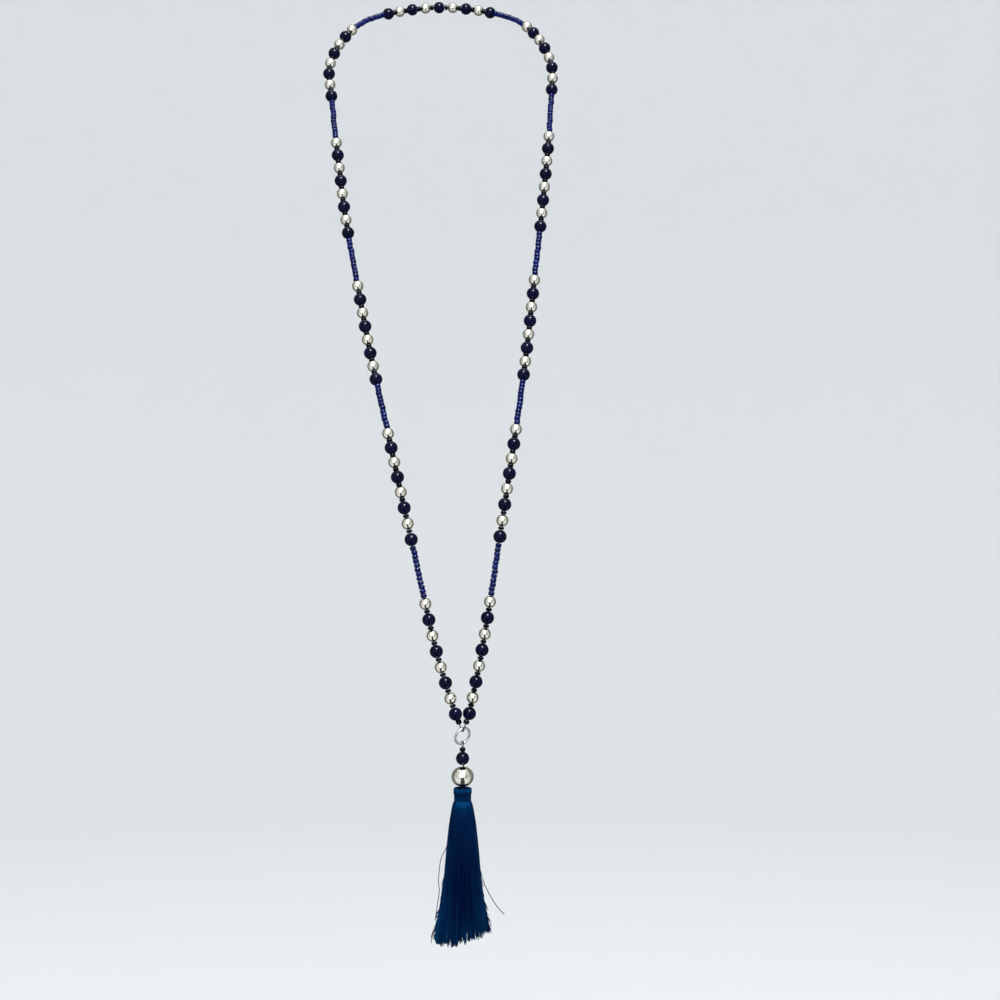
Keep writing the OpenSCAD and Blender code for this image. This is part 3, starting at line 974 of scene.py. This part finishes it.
@dataclass
class SilkTassel:
    """The folded silk head, the wound binding and the combed skirt."""

    top: Vector
    length: float = 82.0
    width: float = 29.0
    head_d: float = 9.6
    head_h: float = 3.8
    waist_d: float = 9.1
    binding_wire: float = 0.4
    binding_turns: int = 8
    head_bore: float = 1.2
    wisps: int = 84
    outer_strands: int = 1300
    inner_strands: int = 420
    inner_start: float = 0.5
    head_strands: int = 150
    floss_r: float = 0.165
    loose_r: float = 0.2
    frayed: int = 64
    frayed_r: float = 0.17

    def __post_init__(self) -> None:
        """Works out the heights of the waist and the skirt."""
        self.waist_h = self.binding_turns * self.binding_wire * 0.9
        self.skirt_top = self.head_h + self.waist_h
        self.skirt_len = self.length - self.skirt_top
        self.waist_r = self.waist_d / 2 - self.binding_wire - 0.1
        self.rng = random.Random(11)

    def half_width(self, share: np.ndarray | float) -> np.ndarray:
        """Half width of the skirt at a share of the way down, eased out from under the binding."""
        wide = np.interp(share, *SKIRT_FALL) * self.width / 2
        ease = np.clip((np.asarray(share) + 0.012) / 0.045, 0, 1)
        return self.waist_r + (wide - self.waist_r) * ease * ease * (3 - 2 * ease)

    def end_share(self, angle: float) -> float:
        """Where the skirt is cut: a little higher on the right."""
        return 0.985 - 0.042 * (1 + math.cos(angle)) - 0.01 * math.sin(angle)

    def make_wisps(self) -> list[Wisp]:
        """Parts the skirt into wisps of uneven size."""
        rng, found = self.rng, []
        for i in range(self.wisps):
            angle = math.tau * (i + rng.uniform(-0.3, 0.3)) / self.wisps
            found.append(Wisp(angle, self.end_share(angle) + rng.uniform(-0.018, 0.015),
                              rng.gauss(0.0, 0.025), rng.uniform(0, math.tau), rng.uniform(0.7, 1.25)))
        return found

    def to_space(self, angle: np.ndarray, out: np.ndarray, down: np.ndarray) -> np.ndarray:
        """Points from an angle about the axis, a distance out and a way below the head's top."""
        return np.column_stack([self.top.x + out * np.cos(angle), self.top.y + out * np.sin(angle),
                                self.top.z - down])

    def strand(self, angle: np.ndarray, out: np.ndarray, share: np.ndarray, radius: float | np.ndarray,
               tone: float | np.ndarray) -> Strand:
        """A strand of the skirt, from points at an angle, a distance out and a share of the way down."""
        return Strand(self.to_space(angle, out, self.skirt_top + share * self.skirt_len), radius, tone)

    def outer_strand(self, wisp: Wisp) -> Strand:
        """A strand on the skin of the skirt, drawn towards its wisp's tip."""
        rng = self.rng
        end = wisp.end - min(rng.expovariate(1 / 0.018), 0.1)
        along = np.array((-0.015, 0.0, 0.02, 0.05, 0.1, 0.18, 0.29, 0.41, 0.53, 0.65, 0.76, 0.85,
                          0.92, 0.97, 1.0))
        share = np.where(along < 0, along, along * end)
        aside = rng.uniform(-1, 1) * math.pi / self.wisps * 1.35
        depth = 1 - 0.13 * rng.random() ** 1.6
        pull = share ** 9
        angle = (wisp.angle + aside * (1 - 0.5 * pull) + 0.05 * share * np.sin(5.2 * share + wisp.sway)
                 + 0.012 * share * np.sin(13 * share + rng.uniform(0, math.tau)))
        out = self.half_width(share) * (depth + (0.97 - depth) * 0.4 * pull) * (1 + wisp.flare * pull)
        out = out + rng.gauss(0, 0.12) * share
        radii = self.floss_r * np.interp(share, (0, 0.1, 0.8, 1), (0.9, 1.15, 1.0, 0.7))
        own = wisp.tone * rng.uniform(0.75, 1.3)
        # The tone paints light into the strand: painted sheen down the fall and at the sides, and a painted
        # highlight in a band under the binding, over the strand's own random tone
        tone = own * (np.interp(share, *FALL_SHEEN_TONE) + np.interp(share, *SIDE_SHEEN_TONE) * np.cos(angle) ** 2
                      + np.interp(share, *BAND_HIGHLIGHT_TONE) * np.sin(angle) ** 4)
        return self.strand(angle, out, share, radii, tone)

    def inner_strand(self) -> Strand:
        """A strand inside the skirt, which shows from below and between the wisps."""
        rng = self.rng
        depth = 0.88 * math.sqrt(rng.random())
        turn = rng.uniform(0, math.tau)
        end = self.end_share(turn) - min(rng.expovariate(1 / 0.03), 0.12)
        share = self.inner_start + (end - self.inner_start) * np.array((0, 0.25, 0.5, 0.75, 0.92, 1.0))
        angle = turn + 0.05 * np.sin(6 * share + rng.uniform(0, math.tau))
        out = self.half_width(share) * depth
        return self.strand(angle, out, share, self.floss_r * 1.3, rng.uniform(0.05, 0.4))

    def loose_strands(self) -> list[Strand]:
        """The few strands that have come away from the skirt."""
        found = []
        for rows in LOOSE_STRANDS:
            knots = np.array([(self.top.x + out, self.top.y + depth,
                               self.top.z - self.skirt_top - share * self.skirt_len)
                              for share, out, depth in rows])
            found.append(Strand(smooth_line(knots, 6), self.loose_r, tone=0.2))
        return found + [self.frayed_strand(i) for i in range(self.frayed)]

    def frayed_strand(self, index: int) -> Strand:
        """A short strand that stands off the lower part of the skirt, most of them at its sides."""
        rng = self.rng
        turn = (math.pi if index % 2 else 0.0) + rng.gauss(0, 0.55)
        start = rng.uniform(0.5, 0.86)
        end = min(start + rng.uniform(0.07, 0.16), self.end_share(turn) + 0.005)
        along = np.linspace(0, 1, 8)
        share = start + (end - start) * along
        stand = rng.uniform(0.3, 1.9) * along ** 1.5 - 0.25
        out = self.half_width(share) + stand + 0.25 * np.sin(5 * along + rng.uniform(0, 6))
        angle = turn + rng.uniform(-0.09, 0.09) * along
        return self.strand(angle, out, share, self.frayed_r, rng.uniform(0.05, 0.4))

    def head_strand(self, index: int) -> Strand:
        """A strand folded over the head, from the hole in its top to under the binding."""
        rng = self.rng
        half = self.head_d / 2
        rows = np.array(((self.head_bore / 2 + 0.25, 0.9), (self.head_bore / 2 + 0.5, 0.35), (2.0, 0.18),
                         (half - 1.2, 0.14), (half - 0.55, 0.3), (half - 0.22, 0.75), (half - 0.14, 1.4),
                         (half - 0.16, self.head_h - 1.3), (half - 0.32, self.head_h - 0.6),
                         (self.waist_r + 0.25, self.head_h - 0.05), (self.waist_r, self.head_h + 0.5),
                         (self.waist_r, self.head_h + 1.4)))
        line = smooth_line(np.column_stack([rows, np.zeros(len(rows))]), 2)
        angle = math.tau * (index + rng.uniform(-0.35, 0.35)) / self.head_strands
        lift = rng.uniform(-0.1, 0.04)
        turn = np.full(len(line), angle) + 0.02 * np.sin(line[:, 1] + rng.uniform(0, 6))
        # The tone paints a highlight on the folded rim and shade on the top under the pendant
        tone = np.interp(np.arange(len(line)), *HEAD_HIGHLIGHT_SHADE_TONE)
        return Strand(self.to_space(turn, line[:, 0] + lift, line[:, 1]), self.floss_r * 1.1,
                      tone * rng.uniform(0.75, 1.0))

    def core(self) -> BMesh:
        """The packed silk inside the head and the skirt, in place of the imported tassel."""
        shares = np.linspace(0, 0.84, 15)
        skirt = [(float(self.half_width(s)) * 0.87, -self.skirt_top - s * self.skirt_len) for s in shares]
        half = self.head_d / 2 - 0.34
        bore, bore_foot, waist = self.head_bore / 2, -4.6, self.waist_r - 0.12
        head = [(0.0, bore_foot), (bore, bore_foot), (bore, -0.9), (bore + 0.4, -0.4), (half - 0.8, -0.34),
                (half, -1.0), (half, -self.head_h + 0.9), (waist, -self.head_h), (waist, -self.skirt_top)]
        foot = [(skirt[-1][0] * 0.8, skirt[-1][1] - 1.2), (0.0, skirt[-1][1] - 1.8)]
        bm = spin_profile(head + skirt + foot, 64, closed=False)
        tone = bm.verts.layers.float.new("tone")
        for vert in bm.verts:
            vert[tone] = 0.05
        bmesh.ops.translate(bm, vec=self.top, verts=bm.verts)
        return bm

    def binding(self) -> Strand:
        """The thread wound round the waist."""
        turns = self.binding_turns
        first = self.head_h + self.binding_wire / 2
        angle = np.linspace(0, math.tau * turns, 48 * turns)
        down = first + (self.waist_h - self.binding_wire) * angle / angle[-1]
        out = np.full(len(angle), (self.waist_d - self.binding_wire) / 2)
        return Strand(self.to_space(angle, out, down), self.binding_wire / 2, 0.28)

    def build(self) -> None:
        """Builds the tassel from its head to its loose strands."""
        wisps = self.make_wisps()
        skirt = [self.outer_strand(wisps[i % len(wisps)]) for i in range(self.outer_strands)]
        inner = [self.inner_strand() for _ in range(self.inner_strands)]
        head = [self.head_strand(i) for i in range(self.head_strands)]
        loose = self.loose_strands()
        settle(object_from("tassel_packed_core", self.core()), SILK, Body.DROP, "tassel")
        for name, strands, resolution, nodes in (
                ("tassel_head_folds", head, 0, ()), ("tassel_skirt_strands", skirt, 0, ()),
                ("tassel_inner_strands", inner, 0, ()), ("tassel_loose_strands", loose, 1, ()),
                ("tassel_wound_binding", [self.binding()], 2, ("tassel_binding",))):
            settle(strand_object(name, strands, resolution), SILK, Body.DROP, *nodes)


# The studio

@dataclass
class Studio:
    """A round pale floor with a rising rim, soft lamps, and a camera at the photograph's angle.

    Its sizes are metres.
    """

    camera_at: Spot = (0.03766, -1.07376, -0.30451)
    lens_mm: float = 62.5
    sensor_mm: float = 36.0
    floor_z: float = -0.82
    floor_r: float = 3.0
    curve_r: float = 1.2
    rim_h: float = 2.3
    card_at: Spot = (0.03, -1.2, -0.8)
    card_size: tuple[float, float] = (0.6, 0.3)
    card_foot: tuple[float, float] = (0.22, -0.2)
    side_card_at: Spot = (0.62, -0.9, -0.35)
    side_card_way: Spot = (0.55, 0.83, 0.0)
    side_card_size: tuple[float, float] = (0.16, 0.3)
    flag_at: Spot = (0.0, -0.15, 0.0)
    flag_r: float = 0.9
    flag_z: tuple[float, float] = (-0.8, 0.6)

    def floor(self) -> None:
        """Spins the floor and its rim as one smooth shell."""
        flat, steps = self.floor_r - self.curve_r, 16
        arc = [(flat + self.curve_r * math.sin(a), self.floor_z + self.curve_r * (1 - math.cos(a)))
               for a in (math.pi / 2 * i / steps for i in range(steps + 1))]
        section = [(0.0, self.floor_z), *arc, (self.floor_r, self.floor_z + self.rim_h)]
        shell = object_from("studio_floor", spin_profile(section, 96, closed=False), unit=1.0)
        shell.data.materials.append(MattPaint("pale_floor").material())

    def lamp(self, name: str, at: Spot, size: tuple[float, float], watts: float, colour: str = "#ffffff",
             aim: Spot = (0.0, -0.15, -0.35), gloss_only: bool = False) -> None:
        """Adds a soft oval lamp that the camera doesn't see.

        Args:
            name: Name of the lamp.
            at: Where it stands.
            size: Its width and height.
            watts: Its power.
            colour: Its colour as a hex value.
            aim: What it points at.
            gloss_only: Whether only reflections show it.
        """
        data = bpy.data.lights.new(name, "AREA")
        data.shape = "ELLIPSE"
        data.size, data.size_y = size
        data.energy = watts
        data.color = linear(colour)[:3]
        lamp = add_object(name, data)
        lamp.location = at
        lamp.rotation_euler = (Vector(aim) - Vector(at)).to_track_quat("-Z", "Y").to_euler()
        lamp.visible_camera = False
        lamp.visible_diffuse = not gloss_only

    def mirror_card(self, name: str, bm: BMesh, colour: str) -> None:
        """Makes a card that only glossy surfaces see, as a studio's flags and cards are seen.

        Args:
            name: Name of the card.
            bm: Its mesh.
            colour: Its colour as a hex value.
        """
        card = object_from(name, bm, unit=1.0)
        card.data.materials.append(MattPaint(name + "_paint", ground=colour).material())
        card.visible_camera = card.visible_diffuse = False
        card.visible_shadow = card.visible_transmission = False

    def dark_card(self) -> None:
        """Stands a dark card under the lens, with a foot that narrows towards the necklace."""
        middle, back, floor = self.card_at
        width, height = self.card_size
        foot_width, foot_end = self.card_foot
        rows = ((width, back, floor + height), (width, back, floor), (foot_width, foot_end, floor))
        corners = [[(middle + side * wide / 2, y, z) for side in (-1, 1)] for wide, y, z in rows]
        self.mirror_card("studio_dark_card", strip(corners), "#0c0c10")

    def side_card(self) -> None:
        """Hangs a small dark card to the right, which puts a mark on the bright beads."""
        middle, across = Vector(self.side_card_at), Vector(self.side_card_way)
        width, height = self.side_card_size
        corners = [[middle + (x * width * across + z * height * UP) / 2 for x in (-1, 1)] for z in (-1, 1)]
        self.mirror_card("studio_side_card", strip(corners), "#15151a")

    def grey_flag(self) -> None:
        """Bends a grey flag round the back, with a half round foot, which draws the bright beads' edges. Its
        grey is a sheet that stands in for shade, seen only in the beads' reflections.
        """
        low, high = self.flag_z
        section = [(0.0, low), (self.flag_r, low), (self.flag_r, high)]
        bm = spin_profile(section, 24, closed=False, angle=math.pi)
        bmesh.ops.translate(bm, vec=self.flag_at, verts=bm.verts)
        self.mirror_card("studio_grey_flag", bm, "#7c7b74")

    def camera(self) -> None:
        """Places the camera level, in front of the necklace."""
        data = bpy.data.cameras.new("camera")
        data.lens = self.lens_mm
        data.sensor_width = self.sensor_mm
        camera = add_object("camera", data)
        camera.location = self.camera_at
        camera.rotation_euler = (math.pi / 2, 0, 0)
        bpy.context.scene.camera = camera

    def sky(self) -> None:
        """Gives the room above the rim a soft even light."""
        world = bpy.data.worlds.new("room")
        world.use_nodes = True
        world.node_tree.nodes.clear()
        light = add_node(world.node_tree, "Background", {"Color": linear("#f6f7f8"), "Strength": 0.95})
        add_node(world.node_tree, "OutputWorld", {"Surface": light.outputs[0]})
        bpy.context.scene.world = world

    def build(self) -> None:
        """Sets up the room, its lamps and the camera."""
        self.floor()
        self.lamp("key_lamp", (0.2, -1.2, 1.1), (0.6, 0.6), 22.0)
        self.lamp("glint_lamp", (0.2, -1.15, 1.15), (0.6, 0.6), 100.0, gloss_only=True)
        self.lamp("window_lamp", (-0.25, -2.0, 0.35), (2.6, 1.8), 16.0, "#fbfdff", gloss_only=True)
        self.lamp("top_lamp", (0.0, -0.4, 2.3), (2.4, 2.4), 17.0, "#fffefc", aim=(0.0, 0.0, -0.8))
        self.dark_card()
        self.side_card()
        self.grey_flag()
        self.camera()
        self.sky()
        bpy.context.scene.view_settings.view_transform = "Standard"


def main() -> None:
    """Builds the necklace piece by piece, then the studio."""
    logging.basicConfig(level=logging.INFO, format="%(name)s %(levelname)s %(message)s")
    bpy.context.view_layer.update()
    path = StrandPath()
    strand = BeadStrand(path)
    strand.build()
    strand.report_fit()
    JumpRing(path).build()
    drop = BeadDrop(path)
    drop.build()
    SilkTassel(Vector(path.ring_foot) - drop.tassel_top * UP).build()
    Studio().build()


if __name__ == "__main__":
    main()
